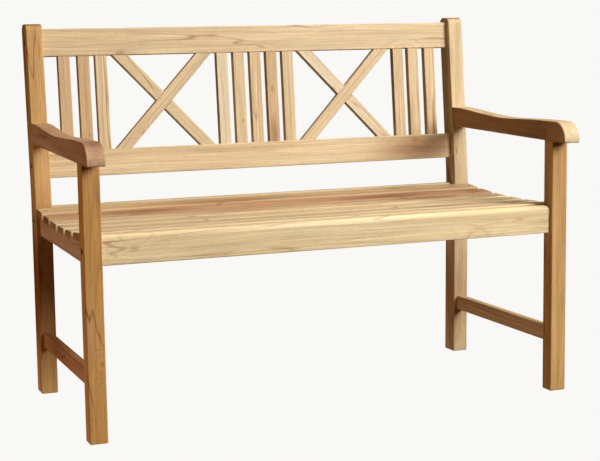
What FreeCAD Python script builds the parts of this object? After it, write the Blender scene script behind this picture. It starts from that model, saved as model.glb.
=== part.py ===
import FreeCAD, Part
import math
import os
from FreeCAD import Vector

# Garden bench for two: a teak frame of two side frames joined by rails,
# a slatted seat with a shallow dish, and a raked back with two crossed bays.
# Millimetres.  X runs along the bench, Y from the sitter's knees to the back,
# Z up.  The origin is on the floor, at the middle of the bench's overall size.
# Left and right are as seen by somebody standing in front of the bench.

# ---- overall sizes -------------------------------------------------------
BENCH_WIDTH = 1200.0
BENCH_HEIGHT = 917.5
SEAT_FRAME_DEPTH = 448.0        # clear run from the front leg to the rear post
ARM_OVERHANG = 51.5             # arm nose beyond the front leg

# ---- frame timber --------------------------------------------------------
LEG_WIDTH = 41.0
FRONT_LEG_DEPTH = 38.0
POST_DEPTH = 51.0
RAIL_THICKNESS = 20.0
LEG_EDGE_RADIUS = 2.5
RAIL_EDGE_RADIUS = 2.5
FOOT_CHAMFER = 1.5

# ---- rear posts ----------------------------------------------------------
POST_KICK = 6.0                 # how far the foot stands behind the bend
POST_BEND_HEIGHT = 497.0
POST_BEND_RADIUS = 420.0
BACK_RAKE = 5.14                # degrees from upright
POST_TOP_RADIUS = 17.0

# ---- armrests ------------------------------------------------------------
ARM_FRONT_UNDERSIDE = 613.0     # at the front face of the front leg
ARM_UNDERSIDE_FALL = 0.0255     # drop per millimetre towards the front
ARM_NOSE_HEIGHT = 48.5
ARM_NOSE_RADIUS = 44.0
ARM_DIP_DEPTH = 2.0
ARM_REAR_RISE = 14.5
ARM_EDGE_RADIUS = 2.0
ARM_NOSE_CORNER_RADIUS = 4.0

# ---- side frame rails ----------------------------------------------------
SIDE_RAIL_FRONT_BOTTOM = 391.5
SIDE_RAIL_REAR_BOTTOM = 400.0
STRETCHER_BOTTOM = 118.0
STRETCHER_HEIGHT = 38.0
SIDE_TENON_LENGTH = 15.0
SIDE_TENON_THICKNESS = 10.0
SIDE_TENON_SHOULDER = 8.0
LEG_TENON_LENGTH = 20.0
LEG_TENON_SIZE = 20.0

# ---- seat ----------------------------------------------------------------
SLAT_COUNT = 6
SLAT_WIDTH = 55.0
SLAT_THICKNESS = 18.0
SLAT_EDGE_RADIUS = 3.5
SLAT_END_INSET = 1.0
SLAT_FRONT_GAP = 10.5
SLAT_REAR_GAP = 2.5
DISH_RADIUS = 2250.0
DISH_LOW_HEIGHT = 453.5
DISH_LOW_SETBACK = 225.0        # lowest point, behind the front leg's face
FACET_MARGIN = 5.0              # flat left on the rails beyond each slat edge
APRON_THICKNESS = 28.0
APRON_SETBACK = 9.0
APRON_BOTTOM = 391.0
APRON_TOP = 458.5
APRON_NOSE_RADIUS = 12.0
APRON_TOP_FALL = 1.6            # top surface drops this much to the rear
REAR_RAIL_BOTTOM = 404.0
REAR_RAIL_TOP = 470.0
BEARER_BOTTOM = 402.0
BEARER_THICKNESS = 28.0

# ---- back panel ----------------------------------------------------------
TOP_RAIL_HEIGHT = 68.0
TOP_RAIL_DROP = 13.0            # top of the rail below the top of the post
LOWER_RAIL_HEIGHT = 66.0
LOWER_RAIL_BOTTOM = 538.5
BACK_SLAT_WIDTH = 30.5
BACK_SLAT_THICKNESS = 17.5
BACK_SLAT_EDGE_RADIUS = 2.0
CENTRE_SLAT_COUNT = 5
CENTRE_SLAT_PITCH = 45.3
SIDE_SLAT_CENTRES = [411.0, 456.0, 505.5]   # from the middle, at this width
SIDE_SLAT_DATUM_WIDTH = 1200.0
CROSS_BAR_WIDTH = 30.0
CROSS_BAR_CORNER_GAP = 13.0     # bar to neighbouring slat, along the rail

# ---- joints in the timber ------------------------------------------------
BACK_TENON_LENGTH = 9.0
BACK_TENON_THICKNESS = 9.0
BACK_TENON_SHOULDER = 3.0
RAIL_TENON_LENGTH = 8.0
RAIL_TENON_THICKNESS = 12.0
RAIL_TENON_SHOULDER = 9.0
TENON_SIDE_CLEARANCE = 0.15
TENON_END_CLEARANCE = 0.8
HALF_LAP_CLEARANCE = 0.1

# ---- hardware ------------------------------------------------------------
BOLT_DIAMETER = 6.0
BOLT_HOLE_CLEARANCE = 0.6
BOLT_HEAD_DIAMETER = 10.0
BOLT_HEAD_HEIGHT = 6.0
BOLT_SOCKET_ACROSS_FLATS = 5.0
BOLT_SOCKET_DEPTH = 3.0
WASHER_DIAMETER = 12.5
WASHER_THICKNESS = 1.6
COUNTERBORE_DIAMETER = 14.0
COUNTERBORE_DEPTH = 11.0
BARREL_NUT_DIAMETER = 10.0
BARREL_NUT_LENGTH = 14.0
BARREL_HOLE_CLEARANCE = 0.2
BARREL_SLOT_WIDTH = 1.6
BARREL_SLOT_DEPTH = 1.5
BARREL_SETBACK = 30.0           # barrel nut centre, in from the rail's end
BOLT_TIP_BEYOND_BARREL = 2.0
SCREW_DIAMETER = 4.0
SCREW_HEAD_DIAMETER = 8.0
SCREW_HEAD_HEIGHT = 2.4
SCREW_LENGTH = 34.0
SCREW_HOLE_CLEARANCE = 0.1
PLUG_DIAMETER = 9.0
PLUG_LENGTH = 5.0

# ---- values worked out from the sizes above ------------------------------
HALF_WIDTH = BENCH_WIDTH / 2
LEG_CENTRE_X = HALF_WIDTH - LEG_WIDTH / 2
LEG_INNER_X = HALF_WIDTH - LEG_WIDTH
RAKE = math.radians(BACK_RAKE)
POST_BEND_FRONT = FRONT_LEG_DEPTH + SEAT_FRAME_DEPTH
POST_BEND_REAR = POST_BEND_FRONT + POST_DEPTH
POST_BEND_CENTRE = POST_BEND_FRONT + POST_DEPTH / 2
POST_TOP_REACH = (BENCH_HEIGHT - POST_BEND_HEIGHT) * math.tan(RAKE)
KICK_SLOPE = POST_KICK / POST_BEND_HEIGHT
TOP_ROUND_CENTRE = (POST_BEND_REAR + POST_TOP_REACH - POST_TOP_RADIUS
                    * (1 + math.sin(RAKE)) / math.cos(RAKE))
REARMOST = TOP_ROUND_CENTRE + POST_TOP_RADIUS
ORIGIN_Y = (REARMOST - ARM_OVERHANG) / 2
BACK_SLOPE = math.cos(RAKE)
UP = Vector(0, 0, 1)
ALONG = Vector(1, 0, 0)
BACKWARD = Vector(0, 1, 0)


def slope_height(z):
    """Distance up the raked back panel for a height above the floor."""
    return (z - POST_BEND_HEIGHT) / BACK_SLOPE


def lean(shape):
    """Move a shape drawn on an upright back panel on to the raked one."""
    moved = shape.copy()
    moved.rotate(Vector(0, 0, 0), ALONG, -BACK_RAKE)
    moved.translate(Vector(0, POST_BEND_CENTRE, POST_BEND_HEIGHT))
    return moved


def mirror(shape):
    """The same piece for the other end of the bench."""
    return shape.mirror(Vector(0, 0, 0), ALONG)


def box(x0, x1, y0, y1, z0, z1):
    return Part.makeBox(x1 - x0, y1 - y0, z1 - z0, Vector(x0, y0, z0))


def cylinder(radius, start, end):
    run = end.sub(start)
    return Part.makeCylinder(radius, run.Length, start, run)


def rounded_outline(corners):
    """Closed outline through (a, b, radius) corners, as lines and arcs in Y and Z."""
    pieces = []
    joins = []
    count = len(corners)
    for index in range(count):
        here = Vector(0, corners[index][0], corners[index][1])
        before = Vector(0, corners[index - 1][0], corners[index - 1][1])
        after = Vector(0, corners[(index + 1) % count][0], corners[(index + 1) % count][1])
        radius = corners[index][2]
        if radius == 0:
            joins.append((here, here, None))
            continue
        back = before.sub(here).normalize()
        onward = after.sub(here).normalize()
        half_angle = back.getAngle(onward) / 2
        reach = radius / math.tan(half_angle)
        bisector = back.add(onward).normalize()
        centre = here.add(bisector * (radius / math.sin(half_angle)))
        middle = centre.sub(bisector * radius)
        joins.append((here.add(back * reach), here.add(onward * reach), middle))
    for index in range(count):
        entry, leave, middle = joins[index]
        following = joins[(index + 1) % count][0]
        if middle is not None:
            pieces.append(Part.Arc(entry, middle, leave).toShape())
        if leave.sub(following).Length > 1e-6:
            pieces.append(Part.makeLine(leave, following))
    return Part.Wire(pieces)


def extrude_along(outline, x0, x1):
    solid = Part.Face(outline).extrude(Vector(x1 - x0, 0, 0))
    solid.translate(Vector(x0, 0, 0))
    return solid


def round_edges(shape, radius, chosen):
    edges = [edge for edge in shape.Edges if chosen(edge)]
    return shape.makeFillet(radius, edges)


def runs_along(edge, direction):
    if len(edge.Vertexes) < 2:
        return False
    run = edge.Vertexes[1].Point.sub(edge.Vertexes[0].Point)
    return run.Length > 1e-6 and abs(run.normalize().dot(direction)) > 0.9999


def on_side_face(edge, x0, x1):
    xs = [vertex.X for vertex in edge.Vertexes]
    return max(xs) - min(xs) < 1e-6 and min(abs(xs[0] - x0), abs(xs[0] - x1)) < 1e-6


def on_height(edge, z):
    return all(abs(vertex.Z - z) < 1e-6 for vertex in edge.Vertexes)


def arm_underside(y):
    return ARM_FRONT_UNDERSIDE + ARM_UNDERSIDE_FALL * y


def post_front(z):
    """Y of the rear post's front face at a height, leaving out the soft bend."""
    if z < POST_BEND_HEIGHT:
        return POST_BEND_FRONT + (POST_BEND_HEIGHT - z) * KICK_SLOPE
    return POST_BEND_FRONT + (z - POST_BEND_HEIGHT) * math.tan(RAKE)


# ---- seat dish -----------------------------------------------------------
def slat_turn(index):
    """Tilt of a seat slat in radians; slat 0 is at the front."""
    first = FRONT_LEG_DEPTH + SLAT_FRONT_GAP + SLAT_WIDTH / 2
    last = POST_BEND_FRONT - SLAT_REAR_GAP - SLAT_WIDTH / 2
    along = first + (last - first) * index / (SLAT_COUNT - 1)
    return (along - DISH_LOW_SETBACK) / DISH_RADIUS


def slat_frame(index):
    """Middle of a slat's top face, its direction to the rear and its upward normal."""
    turn = slat_turn(index)
    middle = Vector(0, DISH_LOW_SETBACK + DISH_RADIUS * math.sin(turn),
                    DISH_LOW_HEIGHT + DISH_RADIUS * (1 - math.cos(turn)))
    rearward = Vector(0, math.cos(turn), math.sin(turn))
    normal = Vector(0, -math.sin(turn), math.cos(turn))
    return middle, rearward, normal


def bed_points():
    """The flats that the slats lie on, as points running from front to rear."""
    points = []
    for index in range(SLAT_COUNT):
        middle, rearward, normal = slat_frame(index)
        bed = middle.sub(normal * SLAT_THICKNESS)
        reach = SLAT_WIDTH / 2 + FACET_MARGIN
        points.append(bed.sub(rearward * reach))
        points.append(bed.add(rearward * reach))
    return points


def under_slats(y_front, y_rear, z_front, z_rear):
    """Outline of a rail with a straight underside and a top that beds the slats."""
    points = bed_points()
    first = points[0].add(points[0].sub(points[1]).normalize() * 40)
    last = points[-1].add(points[-1].sub(points[-2]).normalize() * 60)
    tops = [first] + points[1:-1] + [last]
    slope = (z_rear - z_front) / (y_rear - y_front)
    low_front = Vector(0, first.y, z_front + (first.y - y_front) * slope)
    low_rear = Vector(0, last.y, z_front + (last.y - y_front) * slope)
    loop = [low_front] + tops + [low_rear, low_front]
    return Part.makePolygon(loop)


def seat_slat(index):
    half_length = HALF_WIDTH - SLAT_END_INSET
    blank = box(-half_length, half_length, -SLAT_WIDTH / 2, SLAT_WIDTH / 2, -SLAT_THICKNESS, 0)
    blank = blank.makeFillet(SLAT_EDGE_RADIUS, blank.Edges)
    for x in screw_lines():
        blank = blank.cut(screw_hole(x))
    return place_on_slat(blank, index)


def place_on_slat(shape, index):
    moved = shape.copy()
    moved.rotate(Vector(0, 0, 0), ALONG, math.degrees(slat_turn(index)))
    moved.translate(slat_frame(index)[0])
    return moved


# ---- screws and plugs that hold the seat slats ---------------------------
def screw_lines():
    """X of the three rows of slat screws: both side rails and the middle bearer."""
    return [-LEG_CENTRE_X, 0.0, LEG_CENTRE_X]


def screw_hole(x):
    """Plug hole, head seat and shank hole, drawn on a slat lying level at Z 0."""
    head_top = -PLUG_LENGTH
    head_low = head_top - SCREW_HEAD_HEIGHT
    plug_hole = cylinder(PLUG_DIAMETER / 2, Vector(x, 0, 1), Vector(x, 0, head_top))
    seat = Part.makeCone(SCREW_DIAMETER / 2, SCREW_HEAD_DIAMETER / 2, SCREW_HEAD_HEIGHT,
                         Vector(x, 0, head_low), UP)
    shank = cylinder(SCREW_DIAMETER / 2 + SCREW_HOLE_CLEARANCE, Vector(x, 0, head_top),
                     Vector(x, 0, -PLUG_LENGTH - SCREW_LENGTH - 2))
    return plug_hole.fuse(seat).fuse(shank)


def screw(x):
    head_top = -PLUG_LENGTH
    head_low = head_top - SCREW_HEAD_HEIGHT
    head = Part.makeCone(SCREW_DIAMETER / 2, SCREW_HEAD_DIAMETER / 2, SCREW_HEAD_HEIGHT,
                         Vector(x, 0, head_low), UP)
    point_height = SCREW_DIAMETER
    shank_low = head_top - SCREW_LENGTH + point_height
    shank = cylinder(SCREW_DIAMETER / 2, Vector(x, 0, shank_low), Vector(x, 0, head_low))
    point = Part.makeCone(0.4, SCREW_DIAMETER / 2, point_height,
                          Vector(x, 0, shank_low - point_height), UP)
    slot = box(x - SCREW_HEAD_DIAMETER / 2 + 1, x + SCREW_HEAD_DIAMETER / 2 - 1, -0.5, 0.5,
               head_top - 1, head_top + 1)
    return head.fuse(shank).fuse(point).removeSplitter().cut(slot)


def plug(x):
    return cylinder(PLUG_DIAMETER / 2, Vector(x, 0, -PLUG_LENGTH), Vector(x, 0, 0))


def on_every_slat(make):
    """One solid from make() at each screw position of each seat slat."""
    solids = []
    for index in range(SLAT_COUNT):
        for x in screw_lines():
            solids.append(place_on_slat(make(x), index))
    return solids


def drilled_for_screws(shape, x):
    for index in range(SLAT_COUNT):
        shape = shape.cut(place_on_slat(screw_hole(x), index))
    return shape


# ---- bolts that pull the long rails to the side frames -------------------
def rail_bolt_spots():
    """Y and Z of each bolt line, and the direction its barrel nut is put in from."""
    lower_middle = slope_height(LOWER_RAIL_BOTTOM) + LOWER_RAIL_HEIGHT / 2
    leaned = Vector(0, math.cos(RAKE), -math.sin(RAKE))
    spots = {}
    spots["top_rail"] = (panel_point(top_rail_bottom() + TOP_RAIL_HEIGHT / 2), leaned)
    spots["lower_back_rail"] = (panel_point(lower_middle), leaned)
    spots["rear_seat_rail"] = (Vector(0, rear_rail_centre(), (REAR_RAIL_BOTTOM + REAR_RAIL_TOP) / 2),
                               BACKWARD)
    spots["front_apron"] = (Vector(0, FRONT_LEG_DEPTH / 2, (APRON_BOTTOM + APRON_TOP) / 2), BACKWARD)
    return spots


def panel_point(height):
    return Vector(0, POST_BEND_CENTRE + height * math.sin(RAKE), POST_BEND_HEIGHT
                  + height * math.cos(RAKE))


def rear_rail_centre():
    middle = (REAR_RAIL_BOTTOM + REAR_RAIL_TOP) / 2
    return post_front(middle) + POST_DEPTH / 2


def bolt_hole(spot):
    """Counterbore and shank hole of the right-hand bolt at a spot."""
    outer = Vector(HALF_WIDTH + 1, spot.y, spot.z)
    floor = Vector(HALF_WIDTH - COUNTERBORE_DEPTH, spot.y, spot.z)
    tip = Vector(LEG_INNER_X - BARREL_SETBACK - BARREL_NUT_DIAMETER, spot.y, spot.z)
    hole = cylinder(COUNTERBORE_DIAMETER / 2, outer, floor)
    return hole.fuse(cylinder((BOLT_DIAMETER + BOLT_HOLE_CLEARANCE) / 2, floor, tip))


def bolt(spot):
    washer_face = HALF_WIDTH - COUNTERBORE_DEPTH + WASHER_THICKNESS
    head_face = washer_face + BOLT_HEAD_HEIGHT
    tip = LEG_INNER_X - BARREL_SETBACK - BARREL_NUT_DIAMETER / 2 - BOLT_TIP_BEYOND_BARREL
    head = cylinder(BOLT_HEAD_DIAMETER / 2, Vector(washer_face, spot.y, spot.z),
                    Vector(head_face, spot.y, spot.z))
    shank = cylinder(BOLT_DIAMETER / 2, Vector(tip, spot.y, spot.z),
                     Vector(washer_face, spot.y, spot.z))
    corners = []
    for step in range(7):
        angle = math.radians(60 * step)
        reach = BOLT_SOCKET_ACROSS_FLATS / 2 / math.cos(math.radians(30))
        corners.append(Vector(head_face - BOLT_SOCKET_DEPTH, spot.y + reach * math.cos(angle),
                              spot.z + reach * math.sin(angle)))
    socket = Part.Face(Part.makePolygon(corners)).extrude(Vector(BOLT_SOCKET_DEPTH + 1, 0, 0))
    return head.fuse(shank).removeSplitter().cut(socket)


def washer(spot):
    low = HALF_WIDTH - COUNTERBORE_DEPTH
    ring = cylinder(WASHER_DIAMETER / 2, Vector(low, spot.y, spot.z),
                    Vector(low + WASHER_THICKNESS, spot.y, spot.z))
    return ring.cut(cylinder((BOLT_DIAMETER + BOLT_HOLE_CLEARANCE) / 2,
                             Vector(low - 1, spot.y, spot.z),
                             Vector(low + WASHER_THICKNESS + 1, spot.y, spot.z)))


def barrel_nut(spot, direction):
    centre = Vector(LEG_INNER_X - BARREL_SETBACK, spot.y, spot.z)
    front = centre.sub(direction * (BARREL_NUT_LENGTH / 2))
    rear = centre.add(direction * (BARREL_NUT_LENGTH / 2))
    nut = cylinder(BARREL_NUT_DIAMETER / 2, front, rear)
    nut = nut.cut(cylinder(BOLT_DIAMETER / 2, centre.sub(ALONG * 20), centre.add(ALONG * 20)))
    slot = box(-20, 20, -BARREL_SLOT_DEPTH, BARREL_SLOT_DEPTH, -BARREL_SLOT_WIDTH / 2,
               BARREL_SLOT_WIDTH / 2)
    slot.rotate(Vector(0, 0, 0), ALONG, -math.degrees(math.atan2(-direction.z, direction.y)))
    slot.translate(rear)
    return nut.cut(slot)


def barrel_hole(spot, direction):
    """Blind hole for a barrel nut, open at the rear face of its rail."""
    centre = Vector(LEG_INNER_X - BARREL_SETBACK, spot.y, spot.z)
    front = centre.sub(direction * (BARREL_NUT_LENGTH / 2))
    return cylinder((BARREL_NUT_DIAMETER + BARREL_HOLE_CLEARANCE) / 2, front,
                    centre.add(direction * 40))


def drilled_for_bolts(rail, name):
    spot, direction = rail_bolt_spots()[name]
    for tool in (bolt_hole(spot), barrel_hole(spot, direction)):
        rail = rail.cut(tool).cut(mirror(tool))
    return rail


# ---- stub tenons on the long rails ---------------------------------------
def rail_tenon(y0, y1, z0, z1, grow):
    """Stub tenon at the right end of a rail section; grow makes it a mortise."""
    middle = (y0 + y1) / 2
    half = RAIL_TENON_THICKNESS / 2 + grow
    end = LEG_INNER_X + RAIL_TENON_LENGTH
    if grow > 0:
        end = end + TENON_END_CLEARANCE
    return box(LEG_INNER_X - 1, end, middle - half, middle + half,
               z0 + RAIL_TENON_SHOULDER - grow, z1 - RAIL_TENON_SHOULDER + grow)


def long_rail_sections():
    """Y and Z limits of each long rail; the back ones are on the upright panel."""
    centre = rear_rail_centre()
    half = RAIL_THICKNESS / 2
    low = slope_height(LOWER_RAIL_BOTTOM)
    top = top_rail_bottom()
    sections = {}
    sections["top_rail"] = (-half, half, top, top + TOP_RAIL_HEIGHT)
    sections["lower_back_rail"] = (-half, half, low, low + LOWER_RAIL_HEIGHT)
    sections["rear_seat_rail"] = (centre - half, centre + half, REAR_RAIL_BOTTOM, REAR_RAIL_TOP)
    sections["front_apron"] = (APRON_SETBACK, APRON_SETBACK + APRON_THICKNESS, APRON_BOTTOM, APRON_TOP)
    return sections


def rail_blank(y0, y1, z0, z1):
    blank = box(-LEG_INNER_X, LEG_INNER_X, y0, y1, z0, z1)
    return round_edges(blank, RAIL_EDGE_RADIUS, lambda edge: runs_along(edge, ALONG))


def with_rail_tenons(rail, section):
    tenon = rail_tenon(*section, 0)
    return rail.fuse(tenon).fuse(mirror(tenon)).removeSplitter()


# ---- raked back ----------------------------------------------------------
def top_rail_bottom():
    return slope_height(BENCH_HEIGHT - TOP_RAIL_DROP) - TOP_RAIL_HEIGHT


def lower_rail_top():
    return slope_height(LOWER_RAIL_BOTTOM) + LOWER_RAIL_HEIGHT


def side_slat_centres():
    scale = (LEG_INNER_X * 2) / (SIDE_SLAT_DATUM_WIDTH - 2 * LEG_WIDTH)
    return [centre * scale for centre in SIDE_SLAT_CENTRES]


def centre_slat_centres():
    first = -(CENTRE_SLAT_COUNT - 1) / 2
    return [(first + step) * CENTRE_SLAT_PITCH for step in range(CENTRE_SLAT_COUNT)]


def back_slat_tenons(x, grow):
    half_width = BACK_SLAT_WIDTH / 2 - BACK_TENON_SHOULDER + grow
    half_depth = BACK_TENON_THICKNESS / 2 + grow
    reach = BACK_TENON_LENGTH
    if grow > 0:
        reach = reach + TENON_END_CLEARANCE
    return box(x - half_width, x + half_width, -half_depth, half_depth,
               lower_rail_top() - reach, top_rail_bottom() + reach)


def back_slat(x):
    half = BACK_SLAT_WIDTH / 2
    depth = BACK_SLAT_THICKNESS / 2
    blank = box(x - half, x + half, -depth, depth, lower_rail_top(), top_rail_bottom())
    blank = round_edges(blank, BACK_SLAT_EDGE_RADIUS, lambda edge: runs_along(edge, UP))
    return lean(blank.fuse(back_slat_tenons(x, 0)).removeSplitter())


def cross_bay():
    """Middle X, half run along the rail and half height of one crossed bay."""
    inner = (CENTRE_SLAT_COUNT - 1) / 2 * CENTRE_SLAT_PITCH + BACK_SLAT_WIDTH / 2
    outer = side_slat_centres()[0] - BACK_SLAT_WIDTH / 2
    half_height = (top_rail_bottom() - lower_rail_top()) / 2
    half_bay = (outer - inner) / 2 - CROSS_BAR_CORNER_GAP
    angle = math.atan2(half_bay, half_height)
    for repeat in range(20):
        half_run = half_bay - CROSS_BAR_WIDTH / 2 / math.cos(angle)
        angle = math.atan2(half_run, half_height)
    return (inner + outer) / 2, angle, half_height


def bar_prism(width, thickness, angle, length):
    bar = box(-width / 2, width / 2, -thickness / 2, thickness / 2, -length / 2, length / 2)
    bar.rotate(Vector(0, 0, 0), BACKWARD, math.degrees(angle))
    return bar


def cross_bar_blank(angle, half_height):
    """Bar leaning by angle from upright, cut level with the rails, with its tenons."""
    long = 4 * half_height
    body = box(-CROSS_BAR_WIDTH / 2, CROSS_BAR_WIDTH / 2, -BACK_SLAT_THICKNESS / 2,
               BACK_SLAT_THICKNESS / 2, -long / 2, long / 2)
    body = round_edges(body, BACK_SLAT_EDGE_RADIUS, lambda edge: runs_along(edge, UP))
    body.rotate(Vector(0, 0, 0), BACKWARD, math.degrees(angle))
    level = box(-long, long, -50, 50, -half_height, half_height)
    return body.common(level).fuse(cross_bar_tenons(angle, half_height, 0)).removeSplitter()


def cross_bar_tenons(angle, half_height, grow):
    width = CROSS_BAR_WIDTH - 2 * BACK_TENON_SHOULDER + 2 * grow
    thickness = BACK_TENON_THICKNESS + 2 * grow
    reach = half_height + BACK_TENON_LENGTH
    if grow > 0:
        reach = reach + TENON_END_CLEARANCE
    long = 4 * half_height
    return bar_prism(width, thickness, angle, long).common(box(-long, long, -50, 50, -reach, reach))


def cross_bar(side, rising):
    """One bar of a bay; the rising bar keeps its front half at the crossing."""
    middle, angle, half_height = cross_bay()
    way = 1 if rising else -1
    bar = cross_bar_blank(way * angle, half_height)
    half = BACK_SLAT_THICKNESS / 2
    slack = HALF_LAP_CLEARANCE / 2
    other = bar_prism(CROSS_BAR_WIDTH + 2 * HALF_LAP_CLEARANCE, 100, -way * angle, 4 * half_height)
    span = 4 * half_height
    if rising:
        notch = other.common(box(-span, span, -slack, half + 1, -span, span))
    else:
        notch = other.common(box(-span, span, -half - 1, slack, -span, span))
    bar = bar.cut(notch)
    bar.translate(Vector(side * middle, 0, (top_rail_bottom() + lower_rail_top()) / 2))
    return lean(bar)


def back_mortises():
    """Every mortise in the two back rails, on the upright panel."""
    grow = TENON_SIDE_CLEARANCE
    tools = []
    outer = side_slat_centres()
    for x in centre_slat_centres() + outer + [-centre for centre in outer]:
        tools.append(back_slat_tenons(x, grow))
    middle, angle, half_height = cross_bay()
    for side in (-1, 1):
        for way in (-1, 1):
            tool = cross_bar_tenons(way * angle, half_height, grow)
            tool.translate(Vector(side * middle, 0, (top_rail_bottom() + lower_rail_top()) / 2))
            tools.append(tool)
    return tools


def back_rail(name):
    section = long_rail_sections()[name]
    rail = with_rail_tenons(rail_blank(*section), section)
    for tool in back_mortises():
        rail = rail.cut(tool)
    return drilled_for_bolts(lean(rail), name)


# ---- rails under the seat ------------------------------------------------
def rear_seat_rail():
    section = long_rail_sections()["rear_seat_rail"]
    rail = with_rail_tenons(rail_blank(*section), section)
    rail = rail.cut(bearer_tenons(TENON_SIDE_CLEARANCE))
    return drilled_for_bolts(rail, "rear_seat_rail")


def front_apron():
    front, rear, low, high = long_rail_sections()["front_apron"]
    outline = rounded_outline([(front, low, RAIL_EDGE_RADIUS),
                               (front, high, APRON_NOSE_RADIUS),
                               (rear, high - APRON_TOP_FALL, RAIL_EDGE_RADIUS),
                               (rear, low, RAIL_EDGE_RADIUS)])
    rail = extrude_along(outline, -LEG_INNER_X, LEG_INNER_X)
    rail = with_rail_tenons(rail, (front, rear, low, high))
    rail = rail.cut(bearer_tenons(TENON_SIDE_CLEARANCE))
    return drilled_for_bolts(rail, "front_apron")


def bearer_ends():
    front = APRON_SETBACK + APRON_THICKNESS
    rear = rear_rail_centre() - RAIL_THICKNESS / 2
    return front, rear


def bearer_tenons(grow):
    """Both stub tenons of the middle bearer, as one bar through its middle."""
    front, rear = bearer_ends()
    reach = RAIL_TENON_LENGTH
    if grow > 0:
        reach = reach + TENON_END_CLEARANCE
    half = RAIL_TENON_THICKNESS / 2 + grow
    top = DISH_LOW_HEIGHT - SLAT_THICKNESS - RAIL_TENON_SHOULDER / 2
    return box(-half, half, front - reach, rear + reach, BEARER_BOTTOM + RAIL_TENON_SHOULDER / 2 - grow,
               top + grow)


def centre_bearer():
    front, rear = bearer_ends()
    outline = under_slats(front, rear, BEARER_BOTTOM, BEARER_BOTTOM)
    bearer = extrude_along(outline, -BEARER_THICKNESS / 2, BEARER_THICKNESS / 2)
    bearer = bearer.common(box(-100, 100, front, rear, 0, BENCH_HEIGHT))
    bearer = bearer.fuse(bearer_tenons(0)).removeSplitter()
    return drilled_for_screws(bearer, 0.0)


# ---- side frames (drawn for the right-hand end) --------------------------
def post_corners():
    foot = POST_BEND_FRONT + POST_KICK
    top_front = POST_BEND_FRONT + POST_TOP_REACH
    return [(foot, 0, 0),
            (POST_BEND_FRONT, POST_BEND_HEIGHT, POST_BEND_RADIUS),
            (top_front, BENCH_HEIGHT, POST_TOP_RADIUS),
            (top_front + POST_DEPTH, BENCH_HEIGHT, POST_TOP_RADIUS),
            (POST_BEND_REAR, POST_BEND_HEIGHT, POST_BEND_RADIUS),
            (foot + POST_DEPTH, 0, 0)]


def post_blank():
    return extrude_along(rounded_outline(post_corners()), LEG_INNER_X, HALF_WIDTH)


def side_tenon(y0, y1, z0, z1, grow):
    """Bar through a side rail that leaves a tenon at each end of it."""
    half = SIDE_TENON_THICKNESS / 2 + grow
    length = SIDE_TENON_LENGTH
    if grow > 0:
        length = length + TENON_END_CLEARANCE
    return box(LEG_CENTRE_X - half, LEG_CENTRE_X + half, y0 - length, y1 + length,
               z0 + SIDE_TENON_SHOULDER - grow, z1 - SIDE_TENON_SHOULDER + grow)


def side_rail_tenons(grow):
    low = SIDE_RAIL_REAR_BOTTOM
    high = DISH_LOW_HEIGHT - SLAT_THICKNESS
    return side_tenon(FRONT_LEG_DEPTH, post_front(high), low - 4, high + 4, grow)


def stretcher_tenons(grow):
    high = STRETCHER_BOTTOM + STRETCHER_HEIGHT
    return side_tenon(FRONT_LEG_DEPTH, post_front(high), STRETCHER_BOTTOM, high, grow)


def arm_rear_tenon(grow):
    root = post_front(arm_underside(POST_BEND_FRONT))
    low = arm_underside(POST_BEND_FRONT) + SIDE_TENON_SHOULDER
    high = low + ARM_NOSE_HEIGHT - 2 * SIDE_TENON_SHOULDER
    reach = SIDE_TENON_LENGTH + (TENON_END_CLEARANCE if grow > 0 else 0)
    half = SIDE_TENON_THICKNESS / 2 + grow
    return box(LEG_CENTRE_X - half, LEG_CENTRE_X + half, root - 20, root + reach,
               low - grow, high + grow)


def leg_top_tenon(grow):
    middle = FRONT_LEG_DEPTH / 2
    half = LEG_TENON_SIZE / 2 + grow
    reach = LEG_TENON_LENGTH + (TENON_END_CLEARANCE if grow > 0 else 0)
    top = arm_underside(middle) + reach
    return box(LEG_CENTRE_X - half, LEG_CENTRE_X + half, middle - half, middle + half,
               top - reach - 5, top)


def rear_post():
    post = round_edges(post_blank(), LEG_EDGE_RADIUS,
                       lambda edge: on_side_face(edge, LEG_INNER_X, HALF_WIDTH)
                       and not on_height(edge, 0))
    post = post.makeChamfer(FOOT_CHAMFER, [edge for edge in post.Edges if on_height(edge, 0)])
    grow = TENON_SIDE_CLEARANCE
    sections = long_rail_sections()
    for name in ("top_rail", "lower_back_rail"):
        post = post.cut(lean(rail_tenon(*sections[name], grow)))
    post = post.cut(rail_tenon(*sections["rear_seat_rail"], grow))
    for name in ("top_rail", "lower_back_rail", "rear_seat_rail"):
        post = post.cut(bolt_hole(rail_bolt_spots()[name][0]))
    for tool in (side_rail_tenons(grow), stretcher_tenons(grow), arm_rear_tenon(grow)):
        post = post.cut(tool)
    return post


def front_leg():
    leg = box(LEG_INNER_X, HALF_WIDTH, 0, FRONT_LEG_DEPTH, 0, arm_underside(FRONT_LEG_DEPTH) + 10)
    leg = round_edges(leg, LEG_EDGE_RADIUS, lambda edge: runs_along(edge, UP))
    leg = leg.makeChamfer(FOOT_CHAMFER, [edge for edge in leg.Edges if on_height(edge, 0)])
    leg = leg.cut(above_arm_underside())
    leg = leg.fuse(leg_top_tenon(0)).removeSplitter()
    grow = TENON_SIDE_CLEARANCE
    leg = leg.cut(rail_tenon(*long_rail_sections()["front_apron"], grow))
    leg = leg.cut(bolt_hole(rail_bolt_spots()["front_apron"][0]))
    for tool in (side_rail_tenons(grow), stretcher_tenons(grow)):
        leg = leg.cut(tool)
    return leg


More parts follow.
